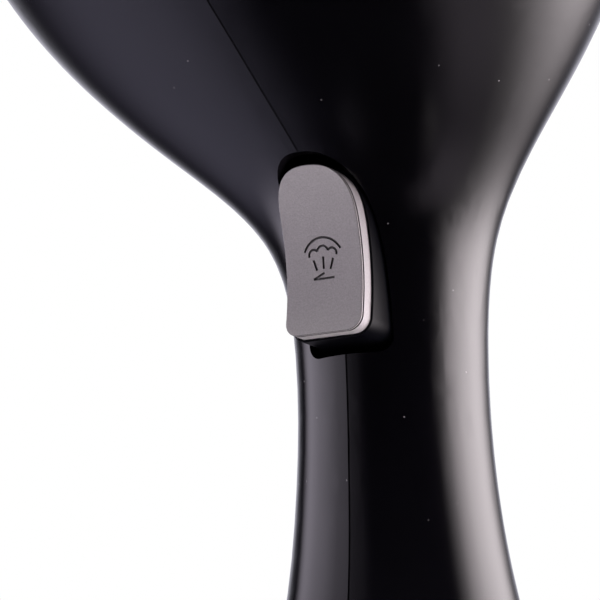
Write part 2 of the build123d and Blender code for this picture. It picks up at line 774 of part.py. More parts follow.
with BuildPart() as trigger_switch:
    with Locations((0, -(SWITCH_FRONT - SWITCH_DEPTH / 2), SWITCH_HEIGHT)):
        Box(12.8, SWITCH_DEPTH, SWITCH_TALL)
    # its three terminals
    with Locations((0, 0, SWITCH_HEIGHT - SWITCH_TALL / 2 - 0.7)):
        with GridLocations(4.5, 1.0, 3, 1):
            Box(0.8, 2.0, 1.6)
    with BuildSketch(Plane.XZ.offset(SWITCH_FRONT)):
        with Locations((0, SWITCH_HEIGHT)):
            Rectangle(2.2, 1.6)
    extrude(amount=-4.2, mode=Mode.SUBTRACT)
save(trigger_switch, "trigger_switch")

with BuildPart() as switch_plunger:
    with BuildSketch(Plane.XZ.offset(SWITCH_FRONT - 2.2)):
        with Locations((0, SWITCH_HEIGHT)):
            Rectangle(2.0, 1.4)
    extrude(amount=5.2)
    fillet(switch_plunger.edges().group_by(Axis.Y)[0], 0.3)
save(switch_plunger, "switch_plunger")


# ---- power button ------------------------------------------------------------------------


def back_disc(outer, inner, first_back, last_back):
    """A disc or ring on the power button's axis, between two distances back."""
    with BuildPart() as disc:
        with BuildSketch(Plane.XZ.offset(-first_back)):
            with Locations((0, BUTTON_HEIGHT)):
                Circle(outer)
                if inner > 0:
                    Circle(inner, mode=Mode.SUBTRACT)
        extrude(amount=-(last_back - first_back))
    return disc.part


with BuildPart() as button_collar:
    add(back_disc(BUTTON_COLLAR_RADIUS, STATUS_LENS_RADIUS + 0.1, BUTTON_PARTS_FRONT, BUTTON_COLLAR_BACK))
    fillet(button_collar.edges().group_by(Axis.Y)[-1], 0.4)
save(button_collar, "button_collar")

with BuildPart() as status_lens:
    add(back_disc(STATUS_LENS_RADIUS, BUTTON_RADIUS + 0.35, BUTTON_PARTS_FRONT, BUTTON_COLLAR_BACK - 0.2))
save(status_lens, "status_lens")

with BuildPart() as power_button:
    add(back_disc(BUTTON_RADIUS, 0, 14.4, BUTTON_FACE))
    fillet(power_button.edges().group_by(Axis.Y)[-1], 0.5)
    add(back_disc(1.6, 0, 12.4, 15.0))
    # the power symbol: a broken ring and a bar
    with BuildSketch(Plane.XZ.offset(-BUTTON_FACE)):
        with Locations((0, BUTTON_HEIGHT)):
            Circle(2.3)
            Circle(1.8, mode=Mode.SUBTRACT)
        with Locations((0, BUTTON_HEIGHT + 2.0)):
            Rectangle(1.6, 1.8, mode=Mode.SUBTRACT)
            Rectangle(0.5, 2.0)
    extrude(amount=0.3, mode=Mode.SUBTRACT)
save(power_button, "power_button")

with BuildPart() as power_board:
    with Locations((0, POWER_BOARD_FRONT + POWER_BOARD_THICK / 2, BUTTON_HEIGHT)):
        Box(14.0, POWER_BOARD_THICK, 22.0)
save(power_board, "power_board")

BUTTON_SWITCH_TALL = 3.2
BUTTON_SWITCH_FRONT = POWER_BOARD_FRONT + POWER_BOARD_THICK

with BuildPart() as button_switch:
    with Locations((0, BUTTON_SWITCH_FRONT + BUTTON_SWITCH_TALL / 2, BUTTON_HEIGHT)):
        Box(6.0, BUTTON_SWITCH_TALL, 6.0)
    # the well that the button's stem goes into
    with BuildSketch(Plane.XZ.offset(-(BUTTON_SWITCH_FRONT + BUTTON_SWITCH_TALL))):
        with Locations((0, BUTTON_HEIGHT)):
            Circle(1.75)
    extrude(amount=1.6, mode=Mode.SUBTRACT)
save(button_switch, "button_switch")

BUTTON_SPRING_BACK = POWER_BOARD_FRONT + 2.0

with BuildPart() as button_spring:
    add(
        coil_spring(
            Plane(origin=(0, BUTTON_SPRING_BACK, BUTTON_HEIGHT), x_dir=(1, 0, 0), z_dir=(0, 1, 0)),
            4.9,
            0.25,
            14.0 - BUTTON_SPRING_BACK,
            3,
        )
    )
save(button_spring, "button_spring")


# ---- pump --------------------------------------------------------------------------------


def pump_ring(outer, inner, bottom, top):
    """A cylinder or ring on the pump's axis between two heights."""
    with BuildPart() as ring:
        with BuildSketch(Plane.XY.offset(bottom)):
            with Locations((0, PUMP_BACK)):
                Circle(outer)
                if inner > 0:
                    Circle(inner, mode=Mode.SUBTRACT)
        extrude(amount=top - bottom)
    return ring.part


NIPPLE_LENGTH = 6.0
PISTON_LENGTH = 16.0
PISTON_BOTTOM = PUMP_BOTTOM + 9.0

with BuildPart() as pump_body:
    add(pump_ring(PUMP_TUBE_RADIUS, 0, PUMP_BOTTOM, PUMP_TOP))
    add(pump_ring(HOSE_BORE - 0.05, 0, PUMP_BOTTOM - NIPPLE_LENGTH, PUMP_TOP + NIPPLE_LENGTH))
    add(pump_ring(PUMP_BORE, 0, PUMP_BOTTOM + 4.0, PUMP_TOP - 4.0), mode=Mode.SUBTRACT)
    add(
        pump_ring(0.7, 0, PUMP_BOTTOM - NIPPLE_LENGTH, PUMP_TOP + NIPPLE_LENGTH),
        mode=Mode.SUBTRACT,
    )
save(pump_body, "pump_body")

with BuildPart() as pump_piston:
    add(pump_ring(PUMP_BORE - RUNNING_FIT, 0.9, PISTON_BOTTOM, PISTON_BOTTOM + PISTON_LENGTH))
save(pump_piston, "pump_piston")

PUMP_SPRING_BOTTOM = PISTON_BOTTOM + PISTON_LENGTH + 0.4
PUMP_SPRING_TOP = PUMP_TOP - 4.4

with BuildPart() as pump_spring:
    add(
        coil_spring(
            Plane.XY.offset(PUMP_SPRING_BOTTOM).shift_origin((0, PUMP_BACK, PUMP_SPRING_BOTTOM)),
            2.6,
            0.35,
            PUMP_SPRING_TOP - PUMP_SPRING_BOTTOM,
            5,
        )
    )
save(pump_spring, "pump_spring")

YOKE_BOTTOM = PUMP_BOTTOM + 9.0
YOKE_TOP = YOKE_BOTTOM + 25.0
YOKE_PLATE = 1.5

with BuildPart() as pump_yoke:
    with Locations((0, PUMP_BACK, (YOKE_BOTTOM + YOKE_TOP) / 2)):
        Box(PUMP_YOKE_SIDE, PUMP_YOKE_SIDE, YOKE_TOP - YOKE_BOTTOM)
        Box(
            PUMP_YOKE_SIDE - 2 * YOKE_PLATE,
            PUMP_YOKE_SIDE + 2,
            YOKE_TOP - YOKE_BOTTOM - 2 * YOKE_PLATE,
            mode=Mode.SUBTRACT,
        )
    add(pump_ring(PUMP_TUBE_RADIUS + 0.1, 0, YOKE_BOTTOM - 1, YOKE_TOP + 1), mode=Mode.SUBTRACT)
save(pump_yoke, "pump_yoke")

with BuildPart() as pump_coil:
    add(pump_ring(7.2, PUMP_TUBE_RADIUS + 0.1, YOKE_BOTTOM + YOKE_PLATE + 0.3, YOKE_TOP - YOKE_PLATE - 0.3))
save(pump_coil, "pump_coil")

with BuildPart() as pump_mounts:
    add(pump_ring(8.5, PUMP_TUBE_RADIUS, PUMP_BOTTOM + 2.0, PUMP_BOTTOM + 6.0))
    add(pump_ring(8.5, PUMP_TUBE_RADIUS, PUMP_TOP - 6.0, PUMP_TOP - 2.0))
save(pump_mounts, "pump_mounts")

SUCTION_ROUTE = [
    (TANK_OUTLET[0], TANK_OUTLET[1], TANK_BOTTOM - 1.0),
    (TANK_OUTLET[0], TANK_OUTLET[1], 182.0),
    (17.0, -14.0, 158.0),
    (13.6, 7.0, 141.0),
    (11.5, 7.2, 118.0),
    (11.3, 7.4, 98.0),
    (5.0, 10.8, 80.0),
    (2.0, 11.6, 60.0),
    (2.0, 11.0, 40.0),
    (0.0, 5.0, 27.5),
    (0.0, PUMP_BACK, 25.5),
    (0.0, PUMP_BACK, PUMP_BOTTOM - 1.0),
]

with BuildPart() as suction_hose:
    add(hose(SUCTION_ROUTE, [5, 9, 12, 20, 12, 12, 20, 12, 4.0, 2.4], HOSE_RADIUS, HOSE_BORE))
save(suction_hose, "suction_hose")

inlet_tip = inlet_end + inlet_way * 6.0
hose_end = inlet_end + inlet_way * 1.0
DELIVERY_ROUTE = [
    (0, PUMP_BACK, PUMP_TOP + 1.0),
    (0, PUMP_BACK, PUMP_TOP + 8.0),
    (-8.6, 7.6, 93.0),
    (-11.4, 7.4, 106.0),
    (-12.5, 7.2, 136.0),
    (-10.0, -10.0, 158.0),
    (-6.0, -36.0, 170.0),
    (0.0, inlet_tip.Y + 4.0, 178.0),
    tuple(inlet_tip + inlet_way * 3.0),
    tuple(hose_end),
]

with BuildPart() as delivery_hose:
    add(hose(DELIVERY_ROUTE, [4, 8, 9, 14, 14, 14, 6, 4], HOSE_RADIUS, HOSE_BORE))
save(delivery_hose, "delivery_hose")


# ---- base, control board and cord inlet --------------------------------------------------

STANDING = (Align.CENTER, Align.CENTER, Align.MIN)

with BuildPart() as foot_pad:
    with BuildSketch(Plane.XY):
        with Locations((0, BASE_CENTRE_BACK)):
            Circle(FOOT_RADIUS)
    extrude(amount=FOOT_THICK)
    chamfer(foot_pad.edges().group_by(Axis.Z)[0], 0.5)
save(foot_pad, "foot_pad")

base_fit = body_form(WALL + 0.25)

with BuildPart() as base_plate:
    add(base_fit)
    with Locations((0, 0, FOOT_THICK + BASE_PLATE_THICK / 2)):
        Box(200, 200, BASE_PLATE_THICK, mode=Mode.INTERSECT)
    with Locations((0, BASE_CENTRE_BACK, FOOT_THICK)):
        with GridLocations(BASE_SCREW_PITCH, BASE_SCREW_PITCH, 2, 2):
            Cylinder(BASE_SCREW_RADIUS + 0.1, 20, align=STANDING, mode=Mode.SUBTRACT)
            Cylinder(3.0, 1.7, align=STANDING, mode=Mode.SUBTRACT)
save(base_plate, "base_plate")

with BuildPart() as base_screws:
    with Locations((0, BASE_CENTRE_BACK, FOOT_THICK + 0.1)):
        with GridLocations(BASE_SCREW_PITCH, BASE_SCREW_PITCH, 2, 2):
            Cylinder(2.8, 1.5, align=STANDING)
            Cylinder(BASE_SCREW_RADIUS, 12.0, align=STANDING)
save(base_screws, "base_screws")

with BuildPart() as cord_gland:
    with BuildSketch(Plane.XZ.offset(-GLAND_FRONT)):
        with Locations((0, GLAND_HEIGHT)):
            Circle(GLAND_RADIUS)
            Circle(CORD_RADIUS, mode=Mode.SUBTRACT)
    extrude(amount=-GLAND_LENGTH)
    # the flange inside the shell
    with BuildSketch(Plane.XZ.offset(-GLAND_FRONT)):
        with Locations((0, GLAND_HEIGHT)):
            Circle(GLAND_RADIUS + 1.6)
            Circle(CORD_RADIUS, mode=Mode.SUBTRACT)
    extrude(amount=-3.0)
    fillet(cord_gland.edges().group_by(Axis.Y)[-1], 0.6)
save(cord_gland, "cord_gland")

with BuildPart() as terminal_block:
    with Locations((0, 19.0, FOOT_THICK + BASE_PLATE_THICK + 4.0)):
        Box(18.0, 9.0, 8.0)
    with Locations((0, 19.0, FOOT_THICK + BASE_PLATE_THICK + 8.0)):
        with GridLocations(6.0, 1.0, 3, 1):
            Cylinder(1.9, 5.0, mode=Mode.SUBTRACT)
save(terminal_block, "terminal_block")

with BuildPart() as control_board:
    with BuildSketch(Plane.XY.offset(BOARD_HEIGHT)):
        Circle(BOARD_RADIUS)
        with Locations((0, PUMP_BACK)):
            Circle(HOSE_RADIUS + 0.8, mode=Mode.SUBTRACT)
    extrude(amount=BOARD_THICK)
save(control_board, "control_board")

with BuildPart() as board_components:
    with Locations((-11, -6, BOARD_TOP + 3.5)):
        Box(8, 12, 7)
    with Locations((11, -6, BOARD_TOP + 3.0)):
        Box(6, 9, 6)
    with Locations((-7, 10, BOARD_TOP + 1.0)):
        Box(7, 6, 2)
    with Locations((8, 9, BOARD_TOP)):
        Cylinder(3.2, 8.0, align=STANDING)
    with Locations((0, -15, BOARD_TOP + 1.5)):
        Box(8, 4, 3)
save(board_components, "board_components")
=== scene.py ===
import json
import math

import bmesh
import bpy
from mathutils import Matrix, Vector

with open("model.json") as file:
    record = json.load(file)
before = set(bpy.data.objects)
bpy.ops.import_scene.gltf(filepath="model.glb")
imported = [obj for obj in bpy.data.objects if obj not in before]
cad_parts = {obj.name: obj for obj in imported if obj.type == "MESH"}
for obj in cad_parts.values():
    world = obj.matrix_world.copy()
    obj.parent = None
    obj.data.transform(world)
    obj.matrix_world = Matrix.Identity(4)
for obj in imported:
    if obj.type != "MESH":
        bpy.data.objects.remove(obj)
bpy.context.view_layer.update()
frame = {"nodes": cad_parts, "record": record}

MM = 0.001
NODES = frame["nodes"]

# The point on the handle's axis that the camera is set out from.
GRIP_AXIS_POINT = Vector((0.0, 0.0, 92 * MM))

CAMERA_AZIMUTH = 30.0
CAMERA_ELEVATION = -13.0
CAMERA_DISTANCE = 1.0
CAMERA_LENS = 300.0
AIM_LEFT = 19.0 * MM
AIM_UP = 16.1 * MM


def direction(azimuth, elevation):
    """A unit vector out from the object, with azimuth 0 towards its front."""
    turn = math.radians(azimuth)
    lift = math.radians(elevation)
    return Vector((math.sin(turn) * math.cos(lift), -math.cos(turn) * math.cos(lift), math.sin(lift)))


# ---- node tree helpers ------------------------------------------------------------------------


def new_group(name, inputs, outputs):
    """An empty shader node group with named sockets, and its input and output nodes."""
    group = bpy.data.node_groups.new(name, "ShaderNodeTree")
    for socket_name, kind, value in inputs:
        socket = group.interface.new_socket(socket_name, in_out="INPUT", socket_type=kind)
        if value is not None:
            socket.default_value = value
    for socket_name, kind in outputs:
        group.interface.new_socket(socket_name, in_out="OUTPUT", socket_type=kind)
    return group, group.nodes.new("NodeGroupInput"), group.nodes.new("NodeGroupOutput")


def node(tree, kind, **values):
    """A node in a tree, with its plain properties set."""
    made = tree.nodes.new(kind)
    for name, value in values.items():
        setattr(made, name, value)
    return made


def repeats_per_metre(tree, size):
    """The scale of a pattern from the size of one repeat in metres."""
    made = node(tree, "ShaderNodeMath", operation="DIVIDE")
    made.inputs[0].default_value = 1.0
    tree.links.new(size, made.inputs[1])
    return made.outputs[0]


FLOAT = "NodeSocketFloat"
VECTOR = "NodeSocketVector"


# ---- camera, light and floor ---------------------------------------------------------------


def make_camera():
    """A long-lens camera looking at the trigger from the front and slightly below."""
    out = direction(CAMERA_AZIMUTH, CAMERA_ELEVATION)
    turn = (-out).to_track_quat("-Z", "Y")
    right = turn @ Vector((1, 0, 0))
    up = turn @ Vector((0, 1, 0))
    lens = bpy.data.cameras.new("camera")
    lens.lens = CAMERA_LENS
    lens.sensor_width = 36.0
    lens.clip_start = 0.05
    lens.clip_end = 20.0
    camera = bpy.data.objects.new("camera", lens)
    camera.rotation_mode = "QUATERNION"
    camera.rotation_quaternion = turn
    camera.location = GRIP_AXIS_POINT - right * AIM_LEFT + up * AIM_UP + out * CAMERA_DISTANCE
    bpy.context.scene.collection.objects.link(camera)
    bpy.context.scene.camera = camera


# The studio that the gloss reflects, as soft glowing areas all round the object. Each one has the
# middle of the area and how far it reaches to each side, in degrees, its radiance and its tint.
STUDIO_AREAS = [
    # azimuth, to the left, to the right, elevation, below, above, radiance, tint
    (126.0, 58.0, 62.0, 8.0, 76.0, 62.0, 8.0, (1.06, 0.97, 1.0)),
    (-84.0, 26.0, 84.0, -6.0, 66.0, 60.0, 2.3, (1.02, 0.94, 1.1)),
    (-150.0, 44.0, 44.0, 14.0, 30.0, 40.0, 0.9, (0.96, 0.95, 1.08)),
    (126.0, 96.0, 60.0, -66.0, 16.0, 22.0, 0.5, (1.05, 0.92, 1.05)),
    (-104.0, 60.0, 84.0, -46.0, 26.0, 45.0, 0.5, (0.97, 0.92, 1.25)),
    (5.0, 100.0, 100.0, 64.0, 34.0, 90.0, 17.0, (1.02, 1.0, 0.98)),
]
STUDIO_AREA_INPUTS = (
    "Middle Azimuth",
    "Left Reach",
    "Right Reach",
    "Middle Elevation",
    "Lower Reach",
    "Upper Reach",
)
STUDIO_DIM = (0.012, 0.01, 0.017)


def make_glow_group():
    """One soft glowing area of the studio: full at its middle, nothing past its reach on each side."""
    group, given, out = new_group(
        "studio_glow",
        [
            ("Azimuth", FLOAT, 0.0),
            ("Elevation", FLOAT, 0.0),
            ("Middle Azimuth", FLOAT, 0.0),
            ("Left Reach", FLOAT, 40.0),
            ("Right Reach", FLOAT, 40.0),
            ("Middle Elevation", FLOAT, 0.0),
            ("Lower Reach", FLOAT, 40.0),
            ("Upper Reach", FLOAT, 40.0),
        ],
        [("Glow", FLOAT)],
    )
    link = group.links.new

    def math_node(operation, first, second=None):
        made = node(group, "ShaderNodeMath", operation=operation)
        for value, target in ((first, made.inputs[0]), (second, made.inputs[1])):
            if isinstance(value, float):
                target.default_value = value
            elif value is not None:
                link(value, target)
        return made.outputs[0]

    def side(offset, reach):
        """1 at no offset, falling smoothly to 0 at the reach."""
        share = node(group, "ShaderNodeMath", operation="DIVIDE", use_clamp=True)
        link(offset, share.inputs[0])
        link(reach, share.inputs[1])
        fall = node(group, "ShaderNodeMapRange", interpolation_type="SMOOTHERSTEP")
        fall.inputs["To Min"].default_value = 1.0
        fall.inputs["To Max"].default_value = 0.0
        link(share.outputs[0], fall.inputs["Value"])
        return fall.outputs["Result"]

    round_offset = math_node("SUBTRACT", given.outputs["Azimuth"], given.outputs["Middle Azimuth"])
    wrapped = node(group, "ShaderNodeMath", operation="WRAP")
    link(round_offset, wrapped.inputs[0])
    wrapped.inputs[1].default_value = 180.0
    wrapped.inputs[2].default_value = -180.0
    back_round = math_node("MULTIPLY", wrapped.outputs[0], -1.0)
    lift_offset = math_node("SUBTRACT", given.outputs["Elevation"], given.outputs["Middle Elevation"])
    drop_offset = math_node("MULTIPLY", lift_offset, -1.0)
    across = math_node(
        "MULTIPLY",
        side(wrapped.outputs[0], given.outputs["Right Reach"]),
        side(back_round, given.outputs["Left Reach"]),
    )
    up_down = math_node(
        "MULTIPLY",
        side(lift_offset, given.outputs["Upper Reach"]),
        side(drop_offset, given.outputs["Lower Reach"]),
    )
    link(math_node("MULTIPLY", across, up_down), out.inputs["Glow"])
    return group


def make_world():
    """The studio's glow for everything the object reflects, and plain white behind it."""
    world = bpy.data.worlds.new("studio")
    bpy.context.scene.world = world
    world.use_nodes = True
    tree = world.node_tree
    tree.nodes.clear()
    link = tree.links.new
    glow_group = make_glow_group()
    ray = node(tree, "ShaderNodeTexCoord")
    apart = node(tree, "ShaderNodeSeparateXYZ")
    link(ray.outputs["Generated"], apart.inputs[0])
    forward = node(tree, "ShaderNodeMath", operation="MULTIPLY")
    forward.inputs[1].default_value = -1.0
    link(apart.outputs["Y"], forward.inputs[0])
    turn = node(tree, "ShaderNodeMath", operation="ARCTAN2")
    link(apart.outputs["X"], turn.inputs[0])
    link(forward.outputs[0], turn.inputs[1])
    lift = node(tree, "ShaderNodeMath", operation="ARCSINE")
    link(apart.outputs["Z"], lift.inputs[0])
    azimuth = node(tree, "ShaderNodeMath", operation="DEGREES")
    link(turn.outputs[0], azimuth.inputs[0])
    elevation = node(tree, "ShaderNodeMath", operation="DEGREES")
    link(lift.outputs[0], elevation.inputs[0])
    light = STUDIO_DIM
    for *shape, radiance, tint in STUDIO_AREAS:
        glow = node(tree, "ShaderNodeGroup", node_tree=glow_group)
        link(azimuth.outputs[0], glow.inputs["Azimuth"])
        link(elevation.outputs[0], glow.inputs["Elevation"])
        for name, value in zip(STUDIO_AREA_INPUTS, shape):
            glow.inputs[name].default_value = value
        tinted = node(tree, "ShaderNodeVectorMath", operation="SCALE")
        tinted.inputs[0].default_value = tuple(part * radiance for part in tint)
        link(glow.outputs["Glow"], tinted.inputs["Scale"])
        added = node(tree, "ShaderNodeVectorMath", operation="ADD")
        link(tinted.outputs[0], added.inputs[0])
        if isinstance(light, tuple):
            added.inputs[1].default_value = light
        else:
            link(light, added.inputs[1])
        light = added.outputs[0]
    room = node(tree, "ShaderNodeBackground")
    link(light, room.inputs["Color"])
    backdrop = node(tree, "ShaderNodeBackground")
    backdrop.inputs["Color"].default_value = (1, 1, 1, 1)
    path = node(tree, "ShaderNodeLightPath")
    mix = node(tree, "ShaderNodeMixShader")
    link(path.outputs["Is Camera Ray"], mix.inputs[0])
    link(room.outputs[0], mix.inputs[1])
    link(backdrop.outputs[0], mix.inputs[2])
    output = node(tree, "ShaderNodeOutputWorld")
    link(mix.outputs[0], output.inputs["Surface"])
    bpy.context.scene.view_settings.view_transform = "Standard"


FLOOR_RADIUS = 235 * MM
FLOOR_DROP = 0.2 * MM
FLOOR_FADE_START = 0.6
FLOOR_FADE_END = 0.98


def make_floor():
    """A pale round floor whose edge fades into the white backdrop."""
    bm = bmesh.new()
    bmesh.ops.create_circle(bm, cap_ends=True, segments=96, radius=FLOOR_RADIUS)
    mesh = bpy.data.meshes.new("floor")
    bm.to_mesh(mesh)
    bm.free()
    mesh.transform(Matrix.Translation((0, 0, -FLOOR_DROP)))
    floor = bpy.data.objects.new("floor", mesh)
    bpy.context.scene.collection.objects.link(floor)
    material = bpy.data.materials.new("pale_floor")
    material.use_nodes = True
    nodes = material.node_tree.nodes
    links = material.node_tree.links
    shader = nodes["Principled BSDF"]
    shader.inputs["Base Color"].default_value = (0.8, 0.8, 0.8, 1)
    shader.inputs["Roughness"].default_value = 0.7
    coordinates = nodes.new("ShaderNodeTexCoord")
    length = nodes.new("ShaderNodeVectorMath")
    length.operation = "LENGTH"
    fade = nodes.new("ShaderNodeMapRange")
    fade.interpolation_type = "SMOOTHSTEP"
    fade.inputs["From Min"].default_value = FLOOR_RADIUS * FLOOR_FADE_START
    fade.inputs["From Max"].default_value = FLOOR_RADIUS * FLOOR_FADE_END
    fade.inputs["To Min"].default_value = 1.0
    fade.inputs["To Max"].default_value = 0.0
    links.new(coordinates.outputs["Object"], length.inputs[0])
    links.new(length.outputs["Value"], fade.inputs["Value"])
    links.new(fade.outputs["Result"], shader.inputs["Alpha"])
    floor.data.materials.append(material)
    floor.visible_glossy = False


# ---- shader groups that several materials use ---------------------------------------------------


def make_grain_group():
    """Fine moulded grain: two sizes of noise as one height, and a slow mottle as a mask."""
    group, given, out = new_group(
        "moulded_grain",
        [("Position", VECTOR, None), ("Grain Size", FLOAT, 0.0004), ("Mottle Size", FLOAT, 0.02)],
        [("Height", FLOAT), ("Mottle", FLOAT)],
    )
    fine = node(group, "ShaderNodeTexNoise")
    fine.inputs["Detail"].default_value = 3.0
    fine.inputs["Roughness"].default_value = 0.6
    mottle = node(group, "ShaderNodeTexNoise")
    mottle.inputs["Detail"].default_value = 4.0
    link = group.links.new
    link(given.outputs["Position"], fine.inputs["Vector"])
    link(repeats_per_metre(group, given.outputs["Grain Size"]), fine.inputs["Scale"])
    link(given.outputs["Position"], mottle.inputs["Vector"])
    link(repeats_per_metre(group, given.outputs["Mottle Size"]), mottle.inputs["Scale"])
    link(fine.outputs["Fac"], out.inputs["Height"])
    link(mottle.outputs["Fac"], out.inputs["Mottle"])
    return group


def make_dust_group():
    """Scattered dust specks as a mask: small round dots in a few of many cells."""
    group, given, out = new_group(
        "dust_specks",
        [
            ("Position", VECTOR, None),
            ("Spacing", FLOAT, 0.004),
            ("Speck Size", FLOAT, 0.05),
            ("Rarity", FLOAT, 0.8),
        ],
        [("Mask", FLOAT)],
    )
    cells = node(group, "ShaderNodeTexVoronoi", feature="F1")
    small = node(group, "ShaderNodeMath", operation="LESS_THAN")
    apart = node(group, "ShaderNodeSeparateColor")
    rare = node(group, "ShaderNodeMath", operation="GREATER_THAN")
    both = node(group, "ShaderNodeMath", operation="MULTIPLY")
    link = group.links.new
    link(given.outputs["Position"], cells.inputs["Vector"])
    link(repeats_per_metre(group, given.outputs["Spacing"]), cells.inputs["Scale"])
    link(cells.outputs["Distance"], small.inputs[0])
    link(given.outputs["Speck Size"], small.inputs[1])
    link(cells.outputs["Color"], apart.inputs[0])
    link(apart.outputs[0], rare.inputs[0])
    link(given.outputs["Rarity"], rare.inputs[1])
    link(small.outputs[0], both.inputs[0])
    link(rare.outputs[0], both.inputs[1])
    link(both.outputs[0], out.inputs["Mask"])
    return group


def make_brushing_group():
    """Brushed metal: noise drawn out along one direction, as a height and a mask."""
    group, given, out = new_group(
        "brushing",
        [("Position", VECTOR, None), ("Line Spacing", FLOAT, 0.0003), ("Stretch", VECTOR, (0.02, 1.0, 1.0))],
        [("Height", FLOAT), ("Streaks", FLOAT)],
    )
    drawn = node(group, "ShaderNodeVectorMath", operation="MULTIPLY")
    lines = node(group, "ShaderNodeTexNoise")
    lines.inputs["Detail"].default_value = 4.0
    contrast = node(group, "ShaderNodeMapRange")
    contrast.inputs["From Min"].default_value = 0.3
    contrast.inputs["From Max"].default_value = 0.7
    link = group.links.new
    link(given.outputs["Position"], drawn.inputs[0])
    link(given.outputs["Stretch"], drawn.inputs[1])
    link(drawn.outputs[0], lines.inputs["Vector"])
    link(repeats_per_metre(group, given.outputs["Line Spacing"]), lines.inputs["Scale"])
    link(lines.outputs["Fac"], contrast.inputs["Value"])
    link(lines.outputs["Fac"], out.inputs["Height"])
    link(contrast.outputs["Result"], out.inputs["Streaks"])
    return group


GRAIN = make_grain_group()
DUST = make_dust_group()
BRUSHING = make_brushing_group()


# ---- materials -------------------------------------------------------------------------------


# How much open sky a point sees down in a groove, and on open surface: the limits of the shade painted into
# grooves.
PAINTED_SHADE_AO_SHUT = 0.55
PAINTED_SHADE_AO_OPEN = 0.95


class Finish:
    """A material with a Principled shader, and short ways to wire the shared groups into it."""

    def __init__(self, name, colour, roughness, metallic=0.0, ior=1.5):
        self.material = bpy.data.materials.new(name)
        self.material.use_nodes = True
        self.tree = self.material.node_tree
        self.shader = self.tree.nodes["Principled BSDF"]
        self.shader.inputs["Base Color"].default_value = (*colour, 1)
        self.shader.inputs["Roughness"].default_value = roughness
        self.shader.inputs["Metallic"].default_value = metallic
        self.shader.inputs["IOR"].default_value = ior
        self.position = node(self.tree, "ShaderNodeTexCoord").outputs["Object"]
        self.material.diffuse_color = (*colour, 1)

    def link(self, source, target):
        self.tree.links.new(source, target)

    def group(self, group, **values):
        """One of the shared groups, reading this piece's own position."""
        made = node(self.tree, "ShaderNodeGroup", node_tree=group)
        for name, value in values.items():
            made.inputs[name.replace("_", " ")].default_value = value
        self.link(self.position, made.inputs["Position"])
        return made

    def bump(self, height, depth, under=None):
        """Adds a bump from a height between 0 and 1, as deep as the given depth in metres."""
        made = node(self.tree, "ShaderNodeBump")
        made.inputs["Strength"].default_value = 1.0
        made.inputs["Distance"].default_value = depth
        self.link(height, made.inputs["Height"])
        if under is not None:
            self.link(under.outputs["Normal"], made.inputs["Normal"])
        self.link(made.outputs["Normal"], self.shader.inputs["Normal"])

    def painted_crevice_shade(self, reach):
        """A mask for painted shade: 1 on open surface and 0 down in grooves and engraving narrower than the
        reach, where shade falls.
        """
        made = node(self.tree, "ShaderNodeAmbientOcclusion", samples=8, only_local=True)
        made.inputs["Distance"].default_value = reach
        sharper = node(self.tree, "ShaderNodeMapRange")
        sharper.inputs["From Min"].default_value = PAINTED_SHADE_AO_SHUT
        sharper.inputs["From Max"].default_value = PAINTED_SHADE_AO_OPEN
        self.link(made.outputs["AO"], sharper.inputs["Value"])
        return sharper.outputs["Result"]

    def soft_edges(self, radius):
        """Rounds the look of every hard edge by the given radius in metres."""
        made = node(self.tree, "ShaderNodeBevel", samples=6)
        made.inputs["Radius"].default_value = radius
        return made

    def spread(self, mask, socket, low, high):
        """Drives a plain value between two limits with a mask."""
        made = node(self.tree, "ShaderNodeMapRange")
        made.inputs["To Min"].default_value = low
        made.inputs["To Max"].default_value = high
        self.link(mask, made.inputs["Value"])
        self.link(made.outputs["Result"], self.shader.inputs[socket])

    def blend(self, mask, first, second):
        """A colour between two colours, which may be sockets or plain colours."""
        made = node(self.tree, "ShaderNodeMix", data_type="RGBA")
        self.link(mask, made.inputs["Factor"])
        for value, target in ((first, made.inputs[6]), (second, made.inputs[7])):
            if isinstance(value, tuple):
                target.default_value = (*value, 1)
            else:
                self.link(value, target)
        return made.outputs[2]

    def paint(self, mask, first, second):
        """Base colour between two colours."""
        self.link(self.blend(mask, first, second), self.shader.inputs["Base Color"])


def gloss_black_shell():
    """High-gloss black plastic, slightly uneven, with a few specks of dust."""
    finish = Finish("gloss_black_shell", (0.0009, 0.0008, 0.0012), 0.13)
    grain = finish.group(GRAIN, Grain_Size=0.0012, Mottle_Size=0.03)
    dust = finish.group(DUST, Spacing=0.0038, Speck_Size=0.042, Rarity=0.72)
    colour = finish.blend(grain.outputs["Mottle"], (0.0006, 0.0005, 0.0009), (0.0013, 0.0011, 0.0019))
    finish.paint(dust.outputs["Mask"], colour, (0.16, 0.15, 0.16))
    finish.spread(grain.outputs["Mottle"], "Roughness", 0.1, 0.2)
    finish.bump(grain.outputs["Height"], 0.0000012)
    return finish.material


def satin_black_moulding():
    """The trigger's own black moulding, a little less glossy than the shells."""
    finish = Finish("satin_black_moulding", (0.002, 0.002, 0.003), 0.3, ior=1.15)
    grain = finish.group(GRAIN, Grain_Size=0.0008, Mottle_Size=0.01)
    dust = finish.group(DUST, Spacing=0.0022, Speck_Size=0.05, Rarity=0.6)
    colour = finish.blend(grain.outputs["Mottle"], (0.0015, 0.0015, 0.0025), (0.003, 0.003, 0.0045))
    finish.paint(dust.outputs["Mask"], colour, (0.1, 0.1, 0.12))
    finish.spread(grain.outputs["Mottle"], "Roughness", 0.26, 0.36)
    finish.bump(grain.outputs["Height"], 0.000004, under=finish.soft_edges(0.0002))
    return finish.material


